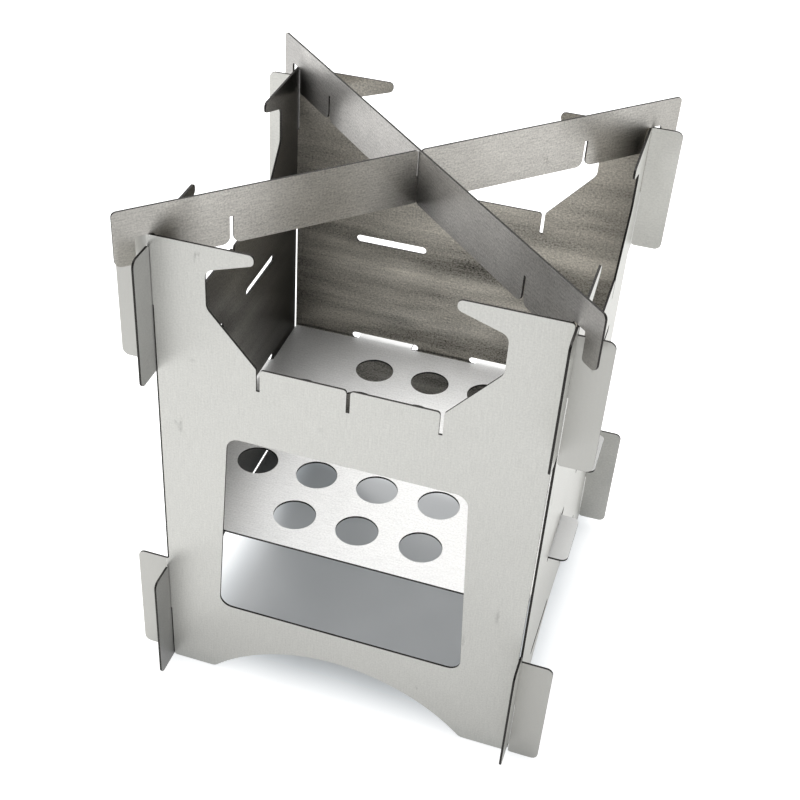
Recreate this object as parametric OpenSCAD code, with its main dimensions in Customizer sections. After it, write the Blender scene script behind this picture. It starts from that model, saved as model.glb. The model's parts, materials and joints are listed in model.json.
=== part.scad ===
// Flat-pack camping wood stove of laser-cut stainless steel sheet: four slotted wall panels,
// a perforated fire grate and two crossed pot bars. Millimetres, +Z up, the front faces -Y, and
// the origin is on the ground in the middle of the footprint.

/* [Sheet] */
// Thickness of the steel sheet of every piece
sheet = 1; // [0.6:0.1:1.3]
// Gap on each side of a sheet inside a slot that another sheet crosses
lap_gap = 0.4; // [0.15:0.05:0.5]
// Radius at the mouth of a slot and at the foot of a tab
mouth_r = 1.2; // [0.6:0.1:2]

/* [Walls] */
// Distance between the middle planes of opposite walls
box_w = 160; // [145:1:200]
// Height of a wall from the ground to its top edge
wall_h = 226.4; // [210:0.2:250]
// Height of a corner tab
tab_h = 57.4; // [40:0.2:64]
// How far a tab reaches past the middle plane of the wall that it crosses
tab_out = 14; // [9:0.5:20]
// How much higher the left-hand tabs of a wall sit than its right-hand tabs
tab_raise = 4.4; // [3:0.2:8]
// Radius of a tab's outer corners
tab_r = 3; // [1:0.5:5]

/* [Mouth at the top of each wall] */
// Width of the mouth below its two prongs
mouth_w = 114.8; // [106:0.2:124]
// Depth of the mouth below the top edge
mouth_depth = 50.2; // [44:0.2:60]
// Depth below the top edge at which the mouth starts to narrow
shoulder_drop = 27; // [22:0.5:32]
// Radius of that shoulder
shoulder_r = 5; // [2:0.5:8]
// Length of a prong
prong_l = 19.4; // [12:0.2:24]
// Height of a prong at its tip
prong_tip_h = 4.3; // [3.6:0.1:7]
// Height of a prong at its root
prong_root_h = 10.7; // [8:0.1:14]
// Radius at the two corners of a prong's tip
prong_tip_r = 2.2; // [1:0.1:3]
// Radius at the root of a prong
prong_root_r = 4; // [2:0.5:6]
// Distance of the outer rest slots from the middle of the wall
rest_x = 36.6; // [28:0.2:40]
// Depth of the rest slots
rest_depth = 10.4; // [6:0.2:12]
// How far the back wall's mouth sits to the right of the middle, seen from the front
back_mouth_shift = 3.4; // [0:0.2:6]

/* [Arch at the foot of each wall] */
// Width of the arch
arch_w = 117.5; // [90:0.5:128]
// Height of the arch
arch_h = 24.5; // [16:0.5:28]
// Radius where the arch meets the ground edge
arch_r = 4; // [2:0.5:6]

/* [Feed window] */
// Width of the window at its top
window_top_w = 100; // [80:1:116]
// Width of the window at its bottom
window_bottom_w = 110.8; // [90:0.2:120]
// Height of the window's lower edge above the ground
window_z = 42; // [34:0.5:50]
// Height of the window
window_h = 97; // [70:1:110]
// Radius of the window's corners
window_r = 5.5; // [3:0.5:9]

/* [Fire grate] */
// Height of the middle of the lowest grate slots
level_z = 30; // [28:0.5:36]
// Step between the three levels of grate slots
level_step = 57; // [50:0.5:60]
// Distance of each grate slot from the middle of its wall
grate_slot_x = 30.8; // [26:0.2:36]
// Length of a grate slot
grate_slot_w = 35; // [32:0.5:42]
// Height of a grate slot
grate_slot_h = 3.8; // [2:0.1:5]
// Width of a tab of the grate
grate_tab_w = 28; // [18:0.5:30]
// How far the grate's tabs reach past the middle plane of a wall
grate_tab_out = 8.3; // [4:0.1:12]
// Radius of the outer corners of the grate's tabs
grate_tab_r = 3; // [1:0.5:4]
// Gap between the grate's edge and the walls around it
grate_gap = 1; // [0.2:0.1:2]
// Diameter of the air holes
hole_d = 18.5; // [12:0.5:21]
// Distance from one air hole to the next
hole_pitch = 28.4; // [24:0.2:29]
// How far the pattern of air holes sits in front of the middle
hole_shift = 1.9; // [0:0.1:2.5]
// Air holes along each side of the square pattern, which has no holes at its corners
hole_count = 5; // [3:2:5]

/* [Pot bars] */
// Height of a pot bar
bar_h = 23.2; // [18:0.2:28]
// How far a bar's end notch reaches inside the crossing of two walls
notch_in = 2.8; // [2:0.1:5]
// How far the end notch reaches outside that crossing
notch_out = 5.2; // [3:0.1:7]
// How far the bar's end reaches outside that crossing
bar_out = 13.6; // [10:0.2:18]
// Radius under the hook at the bar's end
hook_r = 3; // [1.5:0.5:5]
// Radius of the upper corner at the bar's end
bar_end_r = 2; // [1:0.5:4]
// Gap on each side of a sheet inside the thin slots near the bar's ends and the walls' rest slots
thin_gap = 0.25; // [0.15:0.05:0.8]
// Radius at the mouth of the thin slots
thin_mouth_r = 3; // [1:0.5:4]

/* [Hidden] */

// Angle of one straight step of a rounded corner, and the steps of the arch
corner_step = 15;
arch_steps = 28;
// Largest share of an edge that the rounding of one of its corners may use
corner_share = 0.48;
// How far a cutter runs past the faces of a sheet
overrun = 1;

half_w = box_w / 2;
slot_w = sheet + 2 * lap_gap;
thin_w = sheet + 2 * thin_gap;
slot_in = half_w - slot_w / 2;
slot_out = half_w + slot_w / 2;
tab_end = half_w + tab_out;
// Half-laps end in the middle of the height that two crossing tabs share
lap_low_z = (tab_h + tab_raise) / 2;
lap_high_z = wall_h - lap_low_z;

mouth_z = wall_h - mouth_depth;
prong_x = mouth_w / 2 - prong_l;
rest_r = thin_w;

arch_radius = (pow(arch_w / 2, 2) + pow(arch_h, 2)) / (2 * arch_h);
arch_angle = asin(arch_w / 2 / arch_radius);

grate_z = level_z + level_step - grate_slot_h / 2;
grate_half = half_w - sheet / 2 - grate_gap;
grate_end = half_w + grate_tab_out;

corner_s = half_w * sqrt(2);
bar_z = wall_h - bar_h / 2;
bar_mid = bar_h / 2;
bar_end = corner_s + bar_out;

// Rounding: an outline is a list of [x, y, radius], and each corner becomes an arc
function unit(v) = v / norm(v);
function corner_arc(a, p, b) =
    let (
        u = unit([a.x - p.x, a.y - p.y]),
        v = unit([b.x - p.x, b.y - p.y]),
        half = acos(u * v) / 2,
        edge = min(norm([a.x - p.x, a.y - p.y]), norm([b.x - p.x, b.y - p.y])),
        r = min(p.z, corner_share * edge * tan(half)),
        centre = [p.x, p.y] + unit(u + v) * r / sin(half),
        start = [p.x, p.y] + u * r / tan(half) - centre,
        turn = (180 - 2 * half) * sign(cross(-u, v)),
        steps = ceil(abs(turn) / corner_step),
        first = atan2(start.y, start.x)
    )
    [for (i = [0:steps]) centre + r * [cos(first + turn * i / steps), sin(first + turn * i / steps)]];
function rounded(path) =
    let (n = len(path))
    [for (i = [0:n - 1]) each path[i].z > 0
        ? corner_arc(path[(i + n - 1) % n], path[i], path[(i + 1) % n])
        : [[path[i].x, path[i].y]]];
function mirrored(path) = [for (i = [len(path) - 1:-1:0]) [-path[i].x, path[i].y, path[i].z]];

// One lower corner tab, from the ground edge up to the wall's upright edge
function lower_tab(raise, slot_up) =
    let (low = raise, high = raise + tab_h)
    slot_up
        ? concat(
            raise > 0 ? [[slot_in, 0, mouth_r], [slot_in, low, mouth_r]] : [],
            [[tab_end, low, tab_r], [tab_end, high, tab_r], [slot_out, high, mouth_r]],
            [[slot_out, lap_low_z, 0], [slot_in, lap_low_z, 0]])
        : concat(
            [[slot_in, 0, mouth_r], [slot_in, lap_low_z, 0]],
            [[slot_out, lap_low_z, 0], [slot_out, low, mouth_r]],
            [[tab_end, low, tab_r], [tab_end, high, tab_r], [slot_in, high, mouth_r]]);

// One upper corner tab, from the wall's upright edge to its top edge
function upper_tab(drop, slot_up) =
    let (high = wall_h - drop, low = high - tab_h)
    slot_up
        ? [
            [slot_in, low, mouth_r], [tab_end, low, tab_r], [tab_end, high, tab_r],
            [slot_out, high, mouth_r], [slot_out, lap_high_z, 0],
            [slot_in, lap_high_z, 0], [slot_in, wall_h, mouth_r],
        ]
        : concat(
            [[slot_in, lap_high_z, 0], [slot_out, lap_high_z, 0], [slot_out, low, mouth_r]],
            [[tab_end, low, tab_r], [tab_end, high, tab_r]],
            drop > 0 ? [[slot_in, high, mouth_r], [slot_in, wall_h, mouth_r]] : []);

// Half of the mouth, from the prong's tip down to the middle rest slot
function half_mouth() = [
    [prong_x, wall_h, prong_tip_r],
    [prong_x, wall_h - prong_tip_h, prong_tip_r],
    [mouth_w / 2, wall_h - prong_root_h, prong_root_r],
    [mouth_w / 2, wall_h - shoulder_drop, shoulder_r],
    [rest_x + thin_w / 2, mouth_z, rest_r],
    [rest_x + thin_w / 2, mouth_z - rest_depth, 0],
    [rest_x - thin_w / 2, mouth_z - rest_depth, 0],
    [rest_x - thin_w / 2, mouth_z, rest_r],
    [thin_w / 2, mouth_z, rest_r],
    [thin_w / 2, mouth_z - rest_depth, 0],
];

// The whole mouth with its middle moved sideways, from the right prong to the left prong
function mouth(shift) = [
    for (p = concat(half_mouth(), mirrored(half_mouth()))) [p.x + shift, p.y, p.z]
];

// The arch, from its left end to its right end
function arch() = [
    for (i = [0:arch_steps])
        let (a = 90 + arch_angle * (1 - 2 * i / arch_steps))
        [
            arch_radius * cos(a),
            i % arch_steps == 0 ? 0 : arch_h - arch_radius + arch_radius * sin(a),
            i % arch_steps == 0 ? arch_r : 0,
        ]
];

// Outline of a wall seen from outside: its left-hand tabs sit higher than its right-hand tabs
function wall_outline(left_slots_up, right_slots_up, mouth_shift) = rounded(concat(
    arch(),
    lower_tab(0, right_slots_up),
    upper_tab(tab_raise, right_slots_up),
    mouth(mouth_shift),
    mirrored(upper_tab(0, left_slots_up)),
    mirrored(lower_tab(tab_raise, left_slots_up))));

function window_outline() = rounded([
    [-window_bottom_w / 2, window_z, window_r],
    [window_bottom_w / 2, window_z, window_r],
    [window_top_w / 2, window_z + window_h, window_r],
    [-window_top_w / 2, window_z + window_h, window_r],
]);

// One edge of the grate with its two tabs, from one corner of the plate to the next
function grate_edge(side) = concat(
    side < 3
        ? [for (c = [-grate_slot_x, grate_slot_x]) each [
            [grate_half, c - grate_tab_w / 2, mouth_r],
            [grate_end, c - grate_tab_w / 2, grate_tab_r],
            [grate_end, c + grate_tab_w / 2, grate_tab_r],
            [grate_half, c + grate_tab_w / 2, mouth_r],
        ]]
        : [],
    [[grate_half, grate_half, mouth_r]]);
function turned(p, a) = [p.x * cos(a) - p.y * sin(a), p.x * sin(a) + p.y * cos(a), p.z];
function grate_outline() = rounded(
    [for (side = [0:3]) each [for (p = grate_edge(side)) turned(p, 90 * side)]]);

// Half of a pot bar from its middle to its end and back along the top edge
function half_bar(slot_up) = concat(
    slot_up ? [] : [[slot_w / 2, bar_mid, 0], [slot_w / 2, 0, mouth_r]],
    [
        [half_w - thin_w / 2, 0, thin_mouth_r],
        [half_w - thin_w / 2, bar_mid, 0],
        [half_w + thin_w / 2, bar_mid, 0],
        [half_w + thin_w / 2, 0, thin_mouth_r],
        [corner_s - notch_in, 0, mouth_r],
        [corner_s - notch_in, bar_mid, mouth_r],
        [corner_s + notch_out, bar_mid, mouth_r],
        [corner_s + notch_out, 0, hook_r / 2],
        [bar_end, 0, hook_r],
        [bar_end, bar_h, bar_end_r],
    ],
    slot_up ? [[slot_w / 2, bar_h, mouth_r], [slot_w / 2, bar_mid, 0]] : []);
function bar_outline(slot_up) = rounded(concat(half_bar(slot_up), mirrored(half_bar(slot_up))));

// Stands an outline up as a sheet whose outer face looks along -Y
module upright(path, thickness) {
    rotate([90, 0, 0])
        linear_extrude(height = thickness, center = true)
            polygon(path);
}

// A wall in its place, turned about the stove's axis: 0 is the front and 90 is the right
module wall(turn, left_slots_up, right_slots_up, mouth_shift = 0) {
    rotate([0, 0, turn])
        translate([0, -half_w, 0])
            difference() {
                upright(wall_outline(left_slots_up, right_slots_up, mouth_shift), sheet);
                children();
            }
}

// A slot with round ends for one tab of the grate
module grate_slot() {
    reach = sheet + 2 * overrun;
    straight = grate_slot_w - grate_slot_h;
    cube([straight, reach, grate_slot_h], center = true);
    for (side = [-1, 1])
        translate([side * straight / 2, 0, 0])
            rotate([90, 0, 0])
                cylinder(h = reach, d = grate_slot_h, center = true, $fn = 32);
}

module grate_slots() {
    for (level = [0:2], side = [-1, 1])
        translate([side * grate_slot_x, 0, level_z + level * level_step])
            grate_slot();
}

module bar(turn, slot_up) {
    rotate([0, 0, turn])
        translate([0, 0, bar_z])
            upright(bar_outline(slot_up), sheet);
}

// The front wall has the feed window, and its slots open downwards so that it lifts off
module front_panel() {
    color([0.78, 0.78, 0.77])
        wall(0, false, false)
            upright(window_outline(), sheet + 2 * overrun);
}

module back_panel() {
    color([0.62, 0.62, 0.61])
        wall(180, false, true, -back_mouth_shift)
            grate_slots();
}

module left_panel() {
    color([0.55, 0.55, 0.54])
        wall(-90, false, true)
            grate_slots();
}

module right_panel() {
    color([0.68, 0.68, 0.67])
        wall(90, true, true)
            grate_slots();
}

// The grate lies on the lower edges of the middle grate slots, which its tabs pass through
module fire_grate() {
    span = (hole_count - 1) / 2;
    color([0.72, 0.72, 0.71])
        translate([0, 0, grate_z])
            difference() {
                linear_extrude(height = sheet)
                    polygon(grate_outline());
                for (i = [-span:span], j = [-span:span])
                    if (abs(i) + abs(j) < 2 * span)
                        translate([i * hole_pitch, j * hole_pitch - hole_shift, -overrun])
                            cylinder(h = sheet + 2 * overrun, d = hole_d, $fn = 64);
            }
}

// This bar runs from front left to back right, and its middle slot opens upwards
module pot_bar_lower() {
    color([0.6, 0.6, 0.59])
        bar(45, true);
}

// This bar drops over the lower one from above
module pot_bar_upper() {
    color([0.66, 0.66, 0.65])
        bar(-45, false);
}

front_panel();
back_panel();
left_panel();
right_panel();
fire_grate();
pot_bar_lower();
pot_bar_upper();
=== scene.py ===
"""Looks of the flat-pack camping wood stove: brushed steel sheets with laser-cut edges, on a white stage."""
import json
import math

import bmesh
import bpy
import numpy as np
from mathutils import Matrix, Vector


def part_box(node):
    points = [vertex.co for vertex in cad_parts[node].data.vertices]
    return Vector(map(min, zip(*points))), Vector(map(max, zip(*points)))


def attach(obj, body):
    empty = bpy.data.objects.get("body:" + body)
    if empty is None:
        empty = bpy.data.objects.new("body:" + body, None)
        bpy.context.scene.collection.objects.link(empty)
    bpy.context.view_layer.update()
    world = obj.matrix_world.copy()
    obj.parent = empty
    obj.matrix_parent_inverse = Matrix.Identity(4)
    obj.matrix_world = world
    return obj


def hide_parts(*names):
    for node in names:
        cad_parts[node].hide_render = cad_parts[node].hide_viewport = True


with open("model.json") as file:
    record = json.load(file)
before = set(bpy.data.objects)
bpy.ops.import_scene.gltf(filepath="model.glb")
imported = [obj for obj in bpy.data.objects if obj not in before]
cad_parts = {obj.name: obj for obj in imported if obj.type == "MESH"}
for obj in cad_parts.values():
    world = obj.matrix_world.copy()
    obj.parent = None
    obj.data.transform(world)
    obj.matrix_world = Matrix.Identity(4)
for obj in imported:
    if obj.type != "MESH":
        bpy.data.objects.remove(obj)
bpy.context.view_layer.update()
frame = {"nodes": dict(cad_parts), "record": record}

bl_info = {
    "name": "Flat-pack camping wood stove",
    "version": (1, 0, 0),
    "blender": (4, 5, 0),
    "location": "View3D > Sidebar > Stove",
    "description": "Dresses the slotted steel sheets of a camping wood stove and lights them",
    "category": "Object",
}

PICTURE_SIDE = 800  # pixels along each side of the picture
SENSOR_MM = 36
NEAREST_SEEN = 0.01  # metres from the camera

WALLS = ("front_panel", "back_panel", "left_panel", "right_panel")
GRATE = ("fire_grate",)
POT_BARS = ("pot_bar_lower", "pot_bar_upper")
BODY_OF = {node: body for body, nodes in frame["record"]["behaviour"]["bodies"].items() for node in nodes}

MERGE_DISTANCE = 1e-6
WALL_DISTANCE = 0.05  # a piece whose middle is further than this from the stove's axis is a wall
FLAT_ANGLE = math.radians(0.5)
SHARP_ANGLE = math.radians(30)
SAME_DIRECTION = 0.9  # two directions whose cosine is above this count as one
UPRIGHT_BELOW = 0.5  # a sheet is upright if its normal rises less than this
EDGE_SEGMENTS = 2
FACE, CUT, INNER = 0, 1, 2  # material slots of a sheet
QUARTER_TURN = 0.25  # share of a full turn
MIX_FIRST, MIX_SECOND, MIX_COLOR = 6, 7, 2  # the Mix node's sockets for colours

# Waves per metre of the patterns
SPECKLE_WAVES = 1200.0
CLOUD_WAVES = 22.0
BAND_WAVES = (9.0, 60.0, 0.0)
SCUFF_AREA_WAVES = 60.0
SCUFF_WAVES = 420.0
SCUFF_STRETCH = (1.0, 0.35, 1.0)  # share of the scuffs' waves in each direction
MARK_EDGE_WAVES = 700.0
STRIPE_WAVES = 5200.0

# Noise levels between which a pattern grows from nothing to whole
SCUFF_AREA_LEVELS = (0.66, 0.74)
SCUFF_LEVELS = (0.52, 0.7)
STRIPE_LEVELS = (0.3, 0.7)

# Where the painted shade and the painted light at the rim begin and end, in metres
TABS_FROM = 0.0008  # past the middle plane of the walls' sheets
TOP_FADE = 0.022
SIDE_FADE = 0.06
CROSSING_FADE = 0.001
PIT_HEIGHTS = (0.07, 0.09)
RIM_HEIGHTS = (0.14, 0.22)
LEFT_PLACES = (-0.085, 0.03)

# What the patterns do to the finishes
SCUFF_DARKENS = 0.22
SCUFF_ROUGHENS = 0.15
CLOUD_ROUGHENS = 0.12
RIM_CALMS = 0.6  # share of the bands that is gone at the upper rim
GRAIN_RELIEF = {"Strength": 0.12, "Distance": 0.00002}
STRIPE_RELIEF = {"Strength": 0.3, "Distance": 0.00003}
STRIPE_TONES = (0.6, 1.6)
MARK_UNEVEN = 1.2  # how far noise shifts a faint mark's edge, as a share of its size
MARK_CORE = 0.1  # share of a faint mark's size that has its full strength
CUT_ROUGHNESS = 0.5

# The studio's darker part: its direction, and the cosines to it at which its dark begins and is whole
ROOM_DIRECTION = (0.25, -0.75, 0.6)
ROOM_EDGE = (0.1, 0.85)
LAMP_TARGET = (0.0, 0.0, 0.1)
LOW_LAMP_TARGET = (0.0, 0.0, 0.0)
WHITE = (1.0, 1.0, 1.0)

# Faint marks on the front wall: centre and size in metres, and strength
MARKS = (
    ((0.0678, -0.0805, 0.0795), (0.0012, 0.002, 0.0065), 0.22),
    ((0.0552, -0.0805, 0.061), (0.001, 0.002, 0.005), 0.14),
    ((-0.064, -0.0805, 0.1737), (0.0022, 0.002, 0.0016), 0.1),
)

# How strongly each pattern changes a finish's colour; "corner", "crossing", "pit" and "left" are painted
# shade, and
# "rim" is painted light at the upper rim. Besides these, "across" and "along" are the grain's waves per
# metre, "reach",
# "side", "top" and "soft" are the painted shade's inputs in metres, and "tab_grain" is the share of the grain
# that is left past the corners.
OUTER_TONES = {
    "grain": 0.3, "across": 2600.0, "along": 120.0, "cloud": 0.12, "band": 0.0, "rim": 0.0, "pit": 0.0,
    "corner": 0.0, "crossing": 0.0, "left": 0.0, "reach": 0.025, "side": -0.12, "top": 1.0, "soft": 0.0004,
    "tab_grain": 0.2}
INNER_TONES = {
    **OUTER_TONES, "grain": 1.4, "across": 700.0, "along": 1200.0, "cloud": 0.5, "band": 3.0, "rim": 0.35,
    "pit": 0.45, "corner": 0.3}
LEFT_INNER_TONES = {**INNER_TONES, "band": 1.5, "corner": 0.85, "reach": 0.11}
GRATE_TONES = {
    **OUTER_TONES, "grain": 0.4, "across": 120.0, "along": 2600.0, "cloud": 0.2, "corner": 0.1,
    "left": 0.25, "reach": 0.07, "side": 0.0}
BAR_TONES = {
    **INNER_TONES, "grain": 0.9, "across": 140.0, "along": 2400.0, "cloud": 0.7, "band": 0.5, "rim": 0.0,
    "pit": 0.0, "corner": 0.95, "crossing": 0.75, "reach": 0.03, "top": 0.24, "soft": 0.005,
    "tab_grain": 0.7}


class StoveSteel(bpy.types.PropertyGroup):
    """Colours and finish of the steel sheets."""

    panel_color: bpy.props.FloatVectorProperty(
        name="Wall colour", description="Steel of the walls' outer faces", subtype="COLOR",
        default=(0.72, 0.721, 0.688))
    # Painted shade: the walls' inner faces are darker than the outer ones, for the shade inside the box
    inner_shade_color: bpy.props.FloatVectorProperty(
        name="Inner colour", description="Shade-darkened steel of the walls' inner faces", subtype="COLOR",
        default=(0.505, 0.48, 0.43))
    # Painted shade: the left wall's inner face is darker still, as it faces away from the light
    left_inner_shade_color: bpy.props.FloatVectorProperty(
        name="Left inner colour", description="Shade-darkened steel of the left wall's inner face",
        subtype="COLOR", default=(0.36, 0.348, 0.325))
    # Painted shade: the tabs past the corners are darker than the walls' outer faces, for the light they miss
    tab_shade_color: bpy.props.FloatVectorProperty(
        name="Tab colour", description="Steel of the tabs that stand out past the corners", subtype="COLOR",
        default=(0.59, 0.588, 0.56))
    # Painted shade: the inward faces of the left wall's tabs are darker still
    left_tab_shade_color: bpy.props.FloatVectorProperty(
        name="Left tab colour", description="Steel of the faces of the left wall's tabs that look inwards",
        subtype="COLOR", default=(0.40, 0.40, 0.392))
    grate_color: bpy.props.FloatVectorProperty(
        name="Grate colour", description="Steel of the fire grate", subtype="COLOR",
        default=(0.95, 0.95, 0.94))
    # Painted light: the lower bar's steel is lighter than the upper bar's
    lower_bar_lit_color: bpy.props.FloatVectorProperty(
        name="Lower bar colour", description="Steel of the lower pot bar", subtype="COLOR",
        default=(0.772, 0.75, 0.702))
    # Painted shade: the upper bar's steel is darker than the lower bar's
    upper_bar_shaded_color: bpy.props.FloatVectorProperty(
        name="Upper bar colour", description="Steel of the upper pot bar", subtype="COLOR",
        default=(0.60, 0.585, 0.562))
    # Painted shade: the bars are darker past the corners, where they pass the walls
    bar_end_shade_level: bpy.props.FloatProperty(
        name="Bar end level", description="Brightness of the bars past the corners, as a share of the rest",
        subtype="FACTOR", min=0, max=1, default=0.84)
    cut_color: bpy.props.FloatVectorProperty(
        name="Cut edge colour", description="Oxide on the laser-cut edges", subtype="COLOR",
        default=(0.05, 0.048, 0.046))
    roughness: bpy.props.FloatProperty(
        name="Roughness", description="Roughness of the walls and bars", subtype="FACTOR", min=0.1, max=0.8,
        default=0.33)
    grate_roughness: bpy.props.FloatProperty(
        name="Grate roughness", description="Roughness of the fire grate", subtype="FACTOR", min=0.1,
        max=0.8, default=0.5)
    brushed: bpy.props.FloatProperty(
        name="Brushed", description="How much more the grain blurs across itself than along itself",
        subtype="FACTOR", min=0, max=1, default=0.88)
    panel_metallic: bpy.props.FloatProperty(
        name="Wall metallic", description="Share of clean metal in the walls' finish", subtype="FACTOR",
        min=0, max=1, default=0.95)
    grate_metallic: bpy.props.FloatProperty(
        name="Grate metallic", description="Share of clean metal in the grate's finish", subtype="FACTOR",
        min=0, max=1, default=0.6)
    bar_metallic: bpy.props.FloatProperty(
        name="Bar metallic", description="Share of clean metal in the bars' finish", subtype="FACTOR",
        min=0, max=1, default=0.75)
    bevel: bpy.props.FloatProperty(
        name="Edge break", description="Width of the broken edge of a sheet", subtype="DISTANCE",
        unit="LENGTH", min=0.00002, max=0.0003, default=0.00008)


class StoveStage(bpy.types.PropertyGroup):
    """Floor, light and camera."""

    floor_half: bpy.props.FloatProperty(
        name="Floor half width", description="From the middle of the floor to its edge", subtype="DISTANCE",
        unit="LENGTH", default=8)
    floor_albedo: bpy.props.FloatProperty(
        name="Floor whiteness", description="Share of the light that the floor sends back",
        subtype="FACTOR", min=0, max=1, default=0.6)
    floor_lift: bpy.props.FloatProperty(
        name="Floor lift", description="White that the camera sees on the floor around the stove",
        subtype="FACTOR", min=0, max=1, default=0.92)
    # Painted shade: below the stove the floor gets a smaller lift, in a cool tint
    under_lift: bpy.props.FloatProperty(
        name="Lift underneath", description="White that the camera sees on the floor below the stove",
        subtype="FACTOR", min=0, max=1, default=0.13)
    under_color: bpy.props.FloatVectorProperty(
        name="Colour underneath", description="Cool shade of the floor below the stove", subtype="COLOR",
        default=(0.85, 0.94, 1.0))
    gloss_share: bpy.props.FloatProperty(
        name="Lift in gloss", description="Share of the floor's lift that the steel mirrors",
        subtype="FACTOR", min=0, max=1, default=0.435)
    lift_from: bpy.props.FloatProperty(
        name="Lift from", description="Distance from the middle at which the lift starts to grow",
        subtype="DISTANCE", unit="LENGTH", default=0.06)
    lift_to: bpy.props.FloatProperty(
        name="Lift to", description="Distance from the middle at which the lift is whole",
        subtype="DISTANCE", unit="LENGTH", default=0.1)
    lift_back: bpy.props.FloatProperty(
        name="Lift set back", description="How far behind the middle the lift is centred", subtype="DISTANCE",
        unit="LENGTH", default=0.008)
    sky_level: bpy.props.FloatProperty(
        name="Studio level", description="Level of the white walls of the studio", min=0, max=2, default=1.0)
    room_level: bpy.props.FloatProperty(
        name="Room level", description="Level of the darker room above and behind the camera", min=0, max=2,
        default=0.06)
    fill_level: bpy.props.FloatProperty(
        name="Fill", description="Even level of the studio that lights matt surfaces", min=0, max=2,
        default=0.6)
    low_power: bpy.props.FloatProperty(
        name="Low lamp", description="Power of the low lamp behind the stove's left side", subtype="POWER",
        unit="POWER", min=0, default=16.0)
    low_size: bpy.props.FloatProperty(
        name="Low lamp size", description="Side of the low lamp", subtype="DISTANCE", unit="LENGTH",
        default=0.5)
    low_place: bpy.props.FloatVectorProperty(
        name="Low lamp place", description="Where the low lamp stands", subtype="TRANSLATION", unit="LENGTH",
        default=(-0.7, 1.1, 0.5))
    lamp_power: bpy.props.FloatProperty(
        name="Lamp", description="Power of the wide lamp overhead", subtype="POWER",
        unit="POWER", min=0, default=5.5)
    lamp_size: bpy.props.FloatProperty(
        name="Lamp size", description="Side of the lamp", subtype="DISTANCE", unit="LENGTH", default=0.7)
    lamp_place: bpy.props.FloatVectorProperty(
        name="Lamp place", description="Where the lamp hangs", subtype="TRANSLATION", unit="LENGTH",
        default=(-0.15, 0.2, 1.15))
    focal_px: bpy.props.FloatProperty(
        name="Focal length", description="Focal length in pixels of the picture", subtype="PIXEL",
        default=1359.55)
    centre_px: bpy.props.FloatVectorProperty(
        name="Picture centre", description="Pixel that the camera's axis passes through", size=2,
        default=(320, 420))
    place: bpy.props.FloatVectorProperty(
        name="Camera place", description="Where the camera stands", subtype="TRANSLATION", unit="LENGTH",
        default=(0.119256, -0.470446, 0.483102))
    aim: bpy.props.FloatVectorProperty(
        name="Camera aim", description="Turn to the left, tilt upwards and roll", subtype="EULER",
        unit="ROTATION", default=(0.32215, -0.66714, 0.03115))


def link(obj):
    """Puts an object into the scene."""
    bpy.context.scene.collection.objects.link(obj)
    return obj


def new_tree(name, inputs, outputs):
    """Makes a shader node group with the named sockets, each given as (name, type, default)."""
    tree = bpy.data.node_groups.new(name, "ShaderNodeTree")
    for direction, sockets in (("INPUT", inputs), ("OUTPUT", outputs)):
        for label, kind, default in sockets:
            socket = tree.interface.new_socket(label, in_out=direction, socket_type="NodeSocket" + kind)
            if default is not None:
                socket.default_value = default
    return tree


class Wiring:
    """Adds nodes to a tree and joins them: each input is a socket, or a plain value."""

    def __init__(self, tree):
        self.tree = tree

    def node(self, kind, inputs=None, **settings):
        """A new node with its settings and inputs."""
        made = self.tree.nodes.new(kind if kind.startswith("NodeGroup") else "ShaderNode" + kind)
        for key, value in settings.items():
            setattr(made, key, value)
        for key, value in (inputs or {}).items():
            if isinstance(value, bpy.types.NodeSocket):
                self.tree.links.new(value, made.inputs[key])
            else:
                made.inputs[key].default_value = value
        return made

    def group(self, name, inputs):
        """The outputs of a shared node group placed in this tree."""
        return self.node("Group", inputs, node_tree=bpy.data.node_groups[name]).outputs

    def math(self, operation, a, b=0.0, c=0.0):
        """One calculation with up to three numbers."""
        return self.node("Math", {0: a, 1: b, 2: c}, operation=operation).outputs[0]

    def scaled(self, vector, factors):
        """A vector with each part times its own factor."""
        return self.node("VectorMath", {0: vector, 1: factors}, operation="MULTIPLY").outputs[0]

    def length(self, vector):
        """How long a vector is."""
        return self.node("VectorMath", {0: vector}, operation="LENGTH").outputs["Value"]

    def noise(self, vector, waves, detail=3.0, rough=0.55):
        """Smooth noise around 0.5, with so many waves per metre."""
        inputs = {"Vector": vector, "Scale": waves, "Detail": detail, "Roughness": rough}
        return self.node("TexNoise", inputs).outputs["Fac"]

    def spread(self, value, low, high, to_low=0.0, to_high=1.0):
        """Goes smoothly from to_low to to_high as the value goes from low to high."""
        inputs = {"Value": value, "From Min": low, "From Max": high, "To Min": to_low, "To Max": to_high}
        return self.node("MapRange", inputs, clamp=True, interpolation_type="SMOOTHSTEP").outputs[0]


def grain_group():
    """Rolled and brushed grain: fine noise drawn out along the sheet's second direction."""
    tree = new_tree(
        "sheet_grain",
        [("Vector", "Vector", None), ("Across", "Float", 2600.0), ("Along", "Float", 120.0)],
        [("Height", "Float", None), ("Tone", "Float", None)])
    w = Wiring(tree)
    given = w.node("NodeGroupInput").outputs
    spread = w.node("CombineXYZ", {"X": given["Across"], "Y": given["Along"], "Z": 0.0}).outputs[0]
    streaks = w.noise(w.scaled(given["Vector"], spread), 1.0, detail=4.0, rough=0.6)
    speckle = w.noise(given["Vector"], SPECKLE_WAVES, detail=1.0, rough=0.7)
    tone = w.math("SUBTRACT", w.math("ADD", streaks, speckle), 1.0)
    w.node("NodeGroupOutput", {"Height": streaks, "Tone": tone})


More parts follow.
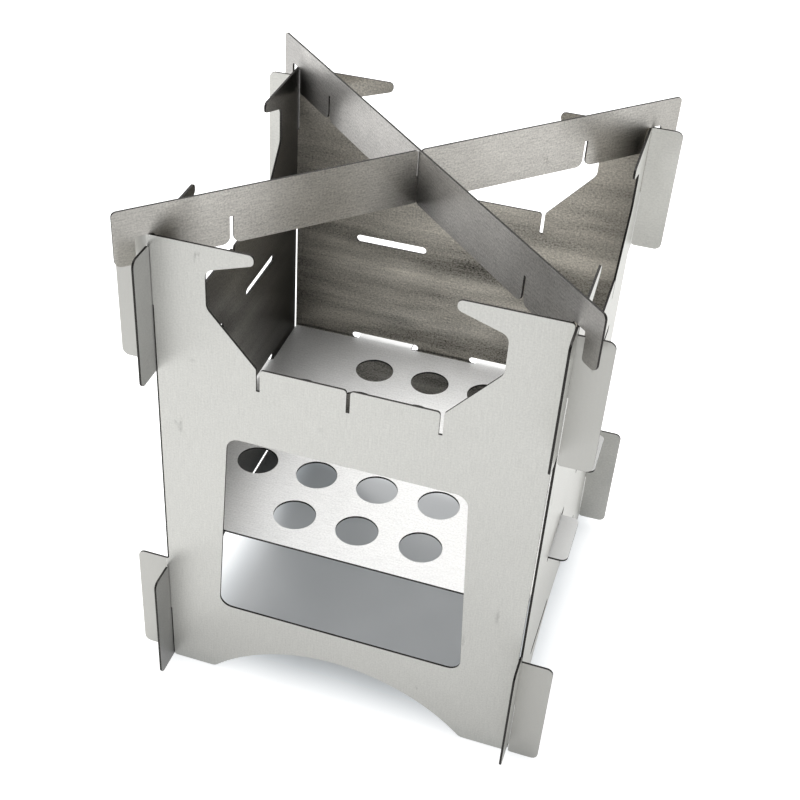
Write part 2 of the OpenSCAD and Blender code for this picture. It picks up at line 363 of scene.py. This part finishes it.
def smudge_group():
    """Handling marks: large faint clouds, soft bands along the sheet, and a few small scuffs."""
    tree = new_tree(
        "handling_marks", [("Vector", "Vector", None)],
        [("Cloud", "Float", None), ("Band", "Float", None), ("Scuff", "Float", None)])
    w = Wiring(tree)
    vector = w.node("NodeGroupInput").outputs["Vector"]
    cloud = w.math("SUBTRACT", w.noise(vector, CLOUD_WAVES, detail=4.0, rough=0.6), 0.5)
    band = w.math("SUBTRACT", w.noise(w.scaled(vector, BAND_WAVES), 1.0, rough=0.6), 0.5)
    areas = w.spread(w.noise(vector, SCUFF_AREA_WAVES, detail=2.0), *SCUFF_AREA_LEVELS)
    marks = w.noise(w.scaled(vector, SCUFF_STRETCH), SCUFF_WAVES, detail=2.0)
    scuff = w.math("MULTIPLY", areas, w.spread(marks, *SCUFF_LEVELS))
    w.node("NodeGroupOutput", {"Cloud": cloud, "Band": band, "Scuff": scuff})


def shade_and_light_group():
    """Painted shade beside the stove's upright corners and beside the bars' crossing, where shade falls
    between parts.

    Outside is 1 past the corners, after growing over the distance Soft.
    Corner is 1 on a corner line and fades to 0 at Reach. It is left out where Outside is 1 and near the front
    right corner: it is 0 where y - x is less than Side, and whole from SIDE_FADE further on.
    Crossing is 1 at the axis and fades to 0 at Reach, in front of it only.
    Corner and Crossing are whole from TOP_FADE below Top downwards, and 0 from Top upwards.
    Rim grows towards the upper rim and lightens the faces there as painted light, and Pit is 1 below the
    lowest grate level, as painted shade. Left is 1 beside the left wall and fades to 0 past the middle, as
    painted shade.
    """
    tree = new_tree(
        "painted_shade_and_light",
        [("Place", "Vector", None), ("Half width", "Float", 0.08), ("Reach", "Float", 0.025),
         ("Side", "Float", -0.12), ("Top", "Float", 1.0), ("Soft", "Float", 0.0004)],
        [("Corner", "Float", None), ("Crossing", "Float", None), ("Outside", "Float", None),
         ("Rim", "Float", None), ("Pit", "Float", None), ("Left", "Float", None)])
    w = Wiring(tree)
    given = w.node("NodeGroupInput").outputs
    place = w.node("SeparateXYZ", {0: given["Place"]}).outputs
    x, y, z = place["X"], place["Y"], place["Z"]
    past_x, past_y = (w.math("SUBTRACT", w.math("ABSOLUTE", part), given["Half width"]) for part in (x, y))
    past = w.math("SUBTRACT", w.math("MAXIMUM", past_x, past_y), TABS_FROM)
    outside = w.spread(w.math("DIVIDE", past, given["Soft"]), -1.0, 0.0)
    inside = w.math("SUBTRACT", 1.0, outside)
    below_top = w.spread(w.math("SUBTRACT", z, given["Top"]), -TOP_FADE, 0.0, 1.0, 0.0)
    side = w.spread(w.math("SUBTRACT", w.math("SUBTRACT", y, x), given["Side"]), 0.0, SIDE_FADE)
    near = []
    for parts in ((past_x, past_y), (x, y)):
        apart = w.node("CombineXYZ", {"X": parts[0], "Y": parts[1], "Z": 0.0}).outputs[0]
        share = w.math("DIVIDE", w.length(apart), given["Reach"])
        near.append(w.math("MULTIPLY", w.spread(share, 0.0, 1.0, 1.0, 0.0), below_top))
    corner = w.math("MULTIPLY", near[0], w.math("MULTIPLY", side, inside))
    crossing = w.math("MULTIPLY", near[1], w.spread(y, -CROSSING_FADE, 0.0, 1.0, 0.0))
    pit = w.math("MULTIPLY", w.spread(z, *PIT_HEIGHTS, 1.0, 0.0), inside)
    w.node("NodeGroupOutput", {
        "Corner": corner, "Crossing": crossing, "Outside": outside, "Rim": w.spread(z, *RIM_HEIGHTS),
        "Pit": pit, "Left": w.spread(x, *LEFT_PLACES, 1.0, 0.0)})


def mark_group():
    """One faint upright handling mark: 1 at Centre, fading to 0 at Size on each side of it."""
    tree = new_tree(
        "faint_mark",
        [("Place", "Vector", None), ("Centre", "Vector", None), ("Size", "Vector", (0.0015, 0.002, 0.005))],
        [("Mark", "Float", None)])
    w = Wiring(tree)
    given = w.node("NodeGroupInput").outputs
    offset = w.node("VectorMath", {0: given["Place"], 1: given["Centre"]}, operation="SUBTRACT").outputs[0]
    share = w.node("VectorMath", {0: offset, 1: given["Size"]}, operation="DIVIDE").outputs[0]
    noise = w.noise(given["Place"], MARK_EDGE_WAVES, detail=2.0)
    uneven = w.math("MULTIPLY_ADD", noise, MARK_UNEVEN, -MARK_UNEVEN / 2)
    distance = w.math("ADD", w.length(share), uneven)
    w.node("NodeGroupOutput", {"Mark": w.spread(distance, MARK_CORE, 1.0, 1.0, 0.0)})


def toned(wiring, color, factor):
    """A colour times a factor that changes over the surface."""
    return wiring.node("VectorMath", {0: color, "Scale": factor}, operation="SCALE").outputs[0]


def mixed_color(wiring, factor, first, second):
    """A colour between two others."""
    inputs = {"Factor": factor, MIX_FIRST: (*first, 1.0), MIX_SECOND: (*second, 1.0)}
    return wiring.node("Mix", inputs, data_type="RGBA").outputs[MIX_COLOR]


def shader(name, metallic):
    """An empty material with its Principled shader, and the wiring to fill it."""
    material = bpy.data.materials.new(name)
    material.use_nodes = True
    tree = material.node_tree
    surface = tree.nodes["Principled BSDF"]
    surface.inputs["Metallic"].default_value = metallic
    return material, Wiring(tree), surface


def placed_patterns(w, place, tones):
    """The shared patterns on a sheet, with a finish's own values: their outputs by name."""
    sheet = w.node("UVMap", uv_map="sheet").outputs["UV"]
    groups = (
        w.group("sheet_grain", {"Vector": sheet, "Across": tones["across"], "Along": tones["along"]}),
        w.group("handling_marks", {"Vector": sheet}),
        w.group("painted_shade_and_light", {
            "Place": place, "Reach": tones["reach"], "Side": tones["side"], "Top": tones["top"],
            "Soft": tones["soft"]}))
    return {output.name: output for outputs in groups for output in outputs}


def steel_tone(w, place, tones, pattern, faint_marks):
    """The brightness that the patterns give a steel face: 1 where it is plain.

    Grain, clouds, bands, scuffs, the rim's painted light and the faint marks are added, and the painted
    shades multiply their sum.
    """
    inside = w.math("SUBTRACT", 1.0, pattern["Outside"])
    kept = w.math("MULTIPLY_ADD", inside, 1.0 - tones["tab_grain"], tones["tab_grain"])
    tone = w.math("MULTIPLY_ADD", w.math("MULTIPLY", pattern["Tone"], kept), tones["grain"], 1.0)
    tone = w.math("MULTIPLY_ADD", pattern["Cloud"], tones["cloud"], tone)
    calm = w.math("MULTIPLY_ADD", pattern["Rim"], -RIM_CALMS, 1.0)
    band = w.math("MULTIPLY", w.math("MULTIPLY", pattern["Band"], calm), inside)
    tone = w.math("MULTIPLY_ADD", band, tones["band"], tone)
    tone = w.math("MULTIPLY_ADD", pattern["Scuff"], -SCUFF_DARKENS, tone)
    tone = w.math("MULTIPLY_ADD", pattern["Rim"], tones["rim"], tone)
    for centre, size, strength in faint_marks:
        mark = w.group("faint_mark", {"Place": place, "Centre": centre, "Size": size})["Mark"]
        tone = w.math("MULTIPLY_ADD", mark, -strength, tone)
    # Painted shade in the corners, beside the crossing, below the grate and towards the left wall
    for area in ("Corner", "Crossing", "Pit", "Left"):
        tone = w.math("MULTIPLY", tone, w.math("MULTIPLY_ADD", pattern[area], -tones[area.lower()], 1.0))
    return tone


def steel_face(name, color, roughness, metallic, tones, grain_turn=0.0, tab_shade_color=None, faint_marks=()):
    """Brushed steel: fine grain in tone and relief, faint clouds, bands, scuffs, painted shade in the corners
    and painted light at the rim.

    tones tells how strongly each pattern changes the colour and where the painted shade lies. The tab colour
    is the painted shade of the parts that stand out past the stove's corners.
    The gloss is blurred across the grain, which runs along v, or along u with a quarter turn.
    """
    material, w, surface = shader(name, metallic)
    tangent = w.node("Tangent", direction_type="UV_MAP", uv_map="sheet")
    w.tree.links.new(tangent.outputs["Tangent"], surface.inputs["Tangent"])
    surface.inputs["Anisotropic"].default_value = bpy.context.scene.stove_steel.brushed
    surface.inputs["Anisotropic Rotation"].default_value = grain_turn
    place = w.node("TexCoord").outputs["Object"]
    pattern = placed_patterns(w, place, tones)
    tone = steel_tone(w, place, tones, pattern, faint_marks)
    # Past the corners the colour turns to the painted shade of the tabs or of the bar ends
    if tab_shade_color is not None:
        color = mixed_color(w, pattern["Outside"], color, tab_shade_color)
    w.tree.links.new(toned(w, color, tone), surface.inputs["Base Color"])
    rough = w.math("MULTIPLY_ADD", pattern["Cloud"], CLOUD_ROUGHENS, roughness)
    rough = w.math("MULTIPLY_ADD", pattern["Scuff"], SCUFF_ROUGHENS, rough)
    w.tree.links.new(rough, surface.inputs["Roughness"])
    bump = w.node("Bump", {**GRAIN_RELIEF, "Height": pattern["Height"]})
    w.tree.links.new(bump.outputs["Normal"], surface.inputs["Normal"])
    return material


def cut_edge(color):
    """Laser-cut edge: dark oxide with fine stripes across the sheet's thickness."""
    _, w, surface = shader("cut_edge", 1.0)
    sheet = w.node("UVMap", uv_map="sheet").outputs["UV"]
    stripes = w.noise(sheet, STRIPE_WAVES, rough=0.7)
    striped = toned(w, color, w.spread(stripes, *STRIPE_LEVELS, *STRIPE_TONES))
    w.tree.links.new(striped, surface.inputs["Base Color"])
    surface.inputs["Roughness"].default_value = CUT_ROUGHNESS
    bump = w.node("Bump", {**STRIPE_RELIEF, "Height": stripes})
    w.tree.links.new(bump.outputs["Normal"], surface.inputs["Normal"])


def face_directions(mesh):
    """Returns each face's normal, and the normal of the widest face, which is the sheet's own."""
    count = len(mesh.polygons)
    normals = np.empty(count * 3, np.float32)
    areas = np.empty(count, np.float32)
    mesh.polygons.foreach_get("normal", normals)
    mesh.polygons.foreach_get("area", areas)
    normals = normals.reshape(-1, 3)
    return normals, normals[areas.argmax()]


def lay_uv(mesh, normal):
    """Writes the sheet's own plane as a UV map in metres: u runs along the sheet and v across it.

    For an upright sheet v is the height and u = co . (up x normal); for a level one u is x and v is y.
    """
    upright = abs(normal[2]) < UPRIGHT_BELOW
    v_axis = np.array((0.0, 0.0, 1.0)) if upright else np.array((0.0, 1.0, 0.0))
    u_axis = np.cross(v_axis, normal) if upright else np.array((1.0, 0.0, 0.0))
    co = np.empty(len(mesh.vertices) * 3, np.float32)
    mesh.vertices.foreach_get("co", co)
    corner = np.empty(len(mesh.loops), np.int32)
    mesh.loops.foreach_get("vertex_index", corner)
    at = co.reshape(-1, 3)[corner]
    uv = np.stack((at @ u_axis, at @ v_axis), axis=1).astype(np.float32)
    layer = mesh.uv_layers.new(name="sheet")
    layer.data.foreach_set("uv", uv.ravel())


def inward(node):
    """Direction from a wall to the stove's axis, or nothing for a piece that the axis passes through."""
    low, high = (np.array(corner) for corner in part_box(node))
    middle = (low + high) / 2
    middle[2] = 0.0
    distance = np.linalg.norm(middle)
    return None if distance < WALL_DISTANCE else -middle / distance


def dressed_sheet(node, bevel, face_material, inner_material=None):
    """Copies a sheet, merges its triangles into flat faces, breaks its edges and gives it its finishes."""
    mesh = frame["nodes"][node].data.copy()
    mesh.name = node + "_sheet"
    work = bmesh.new()
    work.from_mesh(mesh)
    bmesh.ops.remove_doubles(work, verts=work.verts, dist=MERGE_DISTANCE)
    bmesh.ops.dissolve_limit(work, angle_limit=FLAT_ANGLE, verts=work.verts, edges=work.edges)
    work.to_mesh(mesh)
    work.free()
    while mesh.uv_layers:
        mesh.uv_layers.remove(mesh.uv_layers[0])
    mesh.materials.clear()
    for material in (face_material, bpy.data.materials["cut_edge"], inner_material or face_material):
        mesh.materials.append(material)
    normals, own = face_directions(mesh)
    kind = np.where(np.abs(normals @ own) > SAME_DIRECTION, FACE, CUT).astype(np.int32)
    inner = inward(node)
    if inner is not None:
        kind[normals @ inner > SAME_DIRECTION] = INNER
    mesh.polygons.foreach_set("material_index", kind)
    mesh.polygons.foreach_set("use_smooth", np.ones(len(kind), bool))
    mesh.set_sharp_from_angle(angle=SHARP_ANGLE)
    lay_uv(mesh, own)
    piece = link(bpy.data.objects.new(node + "_sheet", mesh))
    edge = piece.modifiers.new("broken_edge", "BEVEL")
    edge.width = bevel
    edge.segments = EDGE_SEGMENTS
    edge.limit_method = "ANGLE"
    edge.angle_limit = SHARP_ANGLE
    edge.harden_normals = True
    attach(piece, BODY_OF[node])
    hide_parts(node)


class STOVE_OT_walls(bpy.types.Operator):
    """Dresses the four slotted walls"""

    bl_idname = "stove.walls"
    bl_label = "Walls"

    def execute(self, context):
        steel = context.scene.stove_steel
        finish = (steel.roughness, steel.panel_metallic)
        outer = steel_face(
            "wall_outer", steel.panel_color, *finish, OUTER_TONES, tab_shade_color=steel.tab_shade_color,
            faint_marks=MARKS)
        # The inner faces carry painted shade in their colour
        inner = steel_face("wall_inner", steel.inner_shade_color, *finish, INNER_TONES, tab_shade_color=steel.tab_shade_color)
        left = steel_face(
            "left_inner", steel.left_inner_shade_color, *finish, LEFT_INNER_TONES, tab_shade_color=steel.left_tab_shade_color)
        for node in WALLS:
            dressed_sheet(node, steel.bevel, outer, left if node == "left_panel" else inner)
        return {"FINISHED"}


class STOVE_OT_grate(bpy.types.Operator):
    """Dresses the perforated fire grate"""

    bl_idname = "stove.grate"
    bl_label = "Fire grate"

    def execute(self, context):
        steel = context.scene.stove_steel
        face = steel_face(
            "grate_face", steel.grate_color, steel.grate_roughness, steel.grate_metallic, GRATE_TONES,
            QUARTER_TURN)
        for node in GRATE:
            dressed_sheet(node, steel.bevel, face)
        return {"FINISHED"}


class STOVE_OT_pot_bars(bpy.types.Operator):
    """Dresses the two crossed pot bars"""

    bl_idname = "stove.pot_bars"
    bl_label = "Pot bars"

    def execute(self, context):
        steel = context.scene.stove_steel
        # The two bars are one steel, lit and shaded in their colours
        colors = (steel.lower_bar_lit_color, steel.upper_bar_shaded_color)
        for node, color in zip(POT_BARS, colors):
            # Painted shade on the bars' ends past the corners
            bar_end_shade_color = [channel * steel.bar_end_shade_level for channel in color]
            face = steel_face(
                node + "_face", color, steel.roughness, steel.bar_metallic, BAR_TONES, QUARTER_TURN,
                bar_end_shade_color)
            dressed_sheet(node, steel.bevel, face)
        return {"FINISHED"}


class STOVE_OT_finishes(bpy.types.Operator):
    """Makes the shared node groups and the cut edge's material"""

    bl_idname = "stove.finishes"
    bl_label = "Finishes"

    def execute(self, context):
        grain_group()
        smudge_group()
        shade_and_light_group()
        mark_group()
        cut_edge(context.scene.stove_steel.cut_color)
        return {"FINISHED"}


def camera_directions(yaw, pitch, roll):
    """Right, up and forward of a camera turned left by yaw and tilted up by pitch, then rolled."""
    forward = Vector((-math.sin(yaw) * math.cos(pitch), math.cos(yaw) * math.cos(pitch), math.sin(pitch)))
    level = Vector((math.cos(yaw), math.sin(yaw), 0.0))
    up = level.cross(forward)
    right = level * math.cos(roll) + up * math.sin(roll)
    return right, up * math.cos(roll) - level * math.sin(roll), forward


def add_camera(stage):
    """The photograph's viewing angle: focal length and picture centre as fitted on the stove's edges."""
    camera = bpy.data.cameras.new("camera")
    camera.sensor_width = SENSOR_MM
    camera.lens = stage.focal_px / PICTURE_SIDE * SENSOR_MM
    camera.shift_x = 0.5 - stage.centre_px[0] / PICTURE_SIDE
    camera.shift_y = stage.centre_px[1] / PICTURE_SIDE - 0.5
    camera.clip_start = NEAREST_SEEN
    right, up, forward = camera_directions(*stage.aim)
    holder = link(bpy.data.objects.new("camera", camera))
    axes = Matrix((right, up, -forward)).transposed().to_4x4()
    holder.matrix_world = Matrix.Translation(stage.place) @ axes
    bpy.context.scene.camera = holder


def seen_or_mirrored(wiring, gloss_share):
    """1 for camera and transmission rays, the given share for gloss rays, else 0."""
    path = wiring.node("LightPath").outputs
    seen = wiring.math("MAXIMUM", path["Is Camera Ray"], path["Is Transmission Ray"])
    return wiring.math("MAXIMUM", seen, wiring.math("MULTIPLY", path["Is Glossy Ray"], gloss_share))


def add_floor(stage):
    """A wide white floor that keeps the stove's shadow, with a lift of white that is faint underneath: the
    smaller, cool lift paints shade below and around the stove.
    """
    half = stage.floor_half
    corners = [(-half, -half, 0.0), (half, -half, 0.0), (half, half, 0.0), (-half, half, 0.0)]
    mesh = bpy.data.meshes.new("floor")
    mesh.from_pydata(corners, [], [(0, 1, 2, 3)])
    material = bpy.data.materials.new("floor")
    material.use_nodes = True
    w = Wiring(material.node_tree)
    w.tree.nodes.clear()
    white = stage.floor_albedo
    paint = w.node("BsdfDiffuse", {"Color": (white, white, white, 1.0)})
    place = w.node("SeparateXYZ", {0: w.node("TexCoord").outputs["Object"]}).outputs
    behind = w.math("SUBTRACT", place["Y"], stage.lift_back)
    away = w.math("MAXIMUM", w.math("ABSOLUTE", place["X"]), w.math("ABSOLUTE", behind))
    # Painted shade: the lift shrinks and cools towards the stove
    amount = w.spread(away, stage.lift_from, stage.lift_to, stage.under_lift, stage.floor_lift)
    outside = w.spread(away, stage.lift_from, stage.lift_to)
    tint = mixed_color(w, outside, stage.under_color, WHITE)
    strength = w.math("MULTIPLY", seen_or_mirrored(w, stage.gloss_share), amount)
    lift = w.node("Emission", {"Color": tint, "Strength": strength})
    both = w.node("AddShader", {0: paint.outputs[0], 1: lift.outputs[0]})
    w.node("OutputMaterial", {"Surface": both.outputs[0]})
    mesh.materials.append(material)
    link(bpy.data.objects.new("floor", mesh))


def add_world(stage):
    """White for the camera, even for matt surfaces, and for gloss darker above and behind the camera."""
    world = bpy.data.worlds.new("studio")
    world.use_nodes = True
    bpy.context.scene.world = world
    w = Wiring(world.node_tree)
    w.tree.nodes.clear()
    toward = w.node("TexCoord").outputs["Generated"]
    room = Vector(ROOM_DIRECTION).normalized()
    facing = w.node("VectorMath", {0: toward, 1: room}, operation="DOT_PRODUCT").outputs["Value"]
    level = w.spread(facing, *ROOM_EDGE, stage.sky_level, stage.room_level)
    path = w.node("LightPath").outputs
    mirrored = w.math("MAXIMUM", path["Is Glossy Ray"], path["Is Transmission Ray"])
    light = w.node("Mix", {"Factor": mirrored, "A": stage.fill_level, "B": level}).outputs["Result"]
    strength = w.math("MAXIMUM", path["Is Camera Ray"], light)
    sky = w.node("Background", {"Color": (*WHITE, 1.0), "Strength": strength})
    w.node("OutputWorld", {"Surface": sky.outputs[0]})


def add_lamp(name, power, size, place, target, in_gloss):
    """A square area lamp that looks at a point, seen in gloss or not."""
    lamp = bpy.data.lights.new(name, "AREA")
    lamp.energy = power
    lamp.size = size
    holder = link(bpy.data.objects.new(name, lamp))
    holder.location = place
    holder.visible_glossy = in_gloss
    holder.rotation_mode = "QUATERNION"
    holder.rotation_quaternion = (Vector(target) - Vector(place)).to_track_quat("-Z", "Y")


class STOVE_OT_stage(bpy.types.Operator):
    """Adds the floor, the studio light and the camera"""

    bl_idname = "stove.stage"
    bl_label = "Stage"

    def execute(self, context):
        stage = context.scene.stove_stage
        context.scene.view_settings.view_transform = "Standard"
        add_floor(stage)
        add_world(stage)
        add_lamp("lamp", stage.lamp_power, stage.lamp_size, stage.lamp_place, LAMP_TARGET, True)
        add_lamp("low_lamp", stage.low_power, stage.low_size, stage.low_place, LOW_LAMP_TARGET, False)
        add_camera(stage)
        return {"FINISHED"}


class STOVE_PT_panel(bpy.types.Panel):
    """Lists the stove's operators and settings"""

    bl_idname = "STOVE_PT_panel"
    bl_label = "Camping stove"
    bl_space_type = "VIEW_3D"
    bl_region_type = "UI"
    bl_category = "Stove"

    def draw(self, context):
        for operator in OPERATORS:
            self.layout.operator(operator.bl_idname)
        for settings in (context.scene.stove_steel, context.scene.stove_stage):
            for key in settings.__annotations__:
                self.layout.prop(settings, key)


OPERATORS = (STOVE_OT_finishes, STOVE_OT_walls, STOVE_OT_grate, STOVE_OT_pot_bars, STOVE_OT_stage)
CLASSES = (StoveSteel, StoveStage, *OPERATORS, STOVE_PT_panel)


def register():
    for item in CLASSES:
        bpy.utils.register_class(item)
    bpy.types.Scene.stove_steel = bpy.props.PointerProperty(type=StoveSteel)
    bpy.types.Scene.stove_stage = bpy.props.PointerProperty(type=StoveStage)


def unregister():
    del bpy.types.Scene.stove_stage
    del bpy.types.Scene.stove_steel
    for item in reversed(CLASSES):
        bpy.utils.unregister_class(item)


def main():
    register()
    bpy.ops.stove.finishes()
    bpy.ops.stove.walls()
    bpy.ops.stove.grate()
    bpy.ops.stove.pot_bars()
    bpy.ops.stove.stage()


if __name__ == "__main__":
    main()
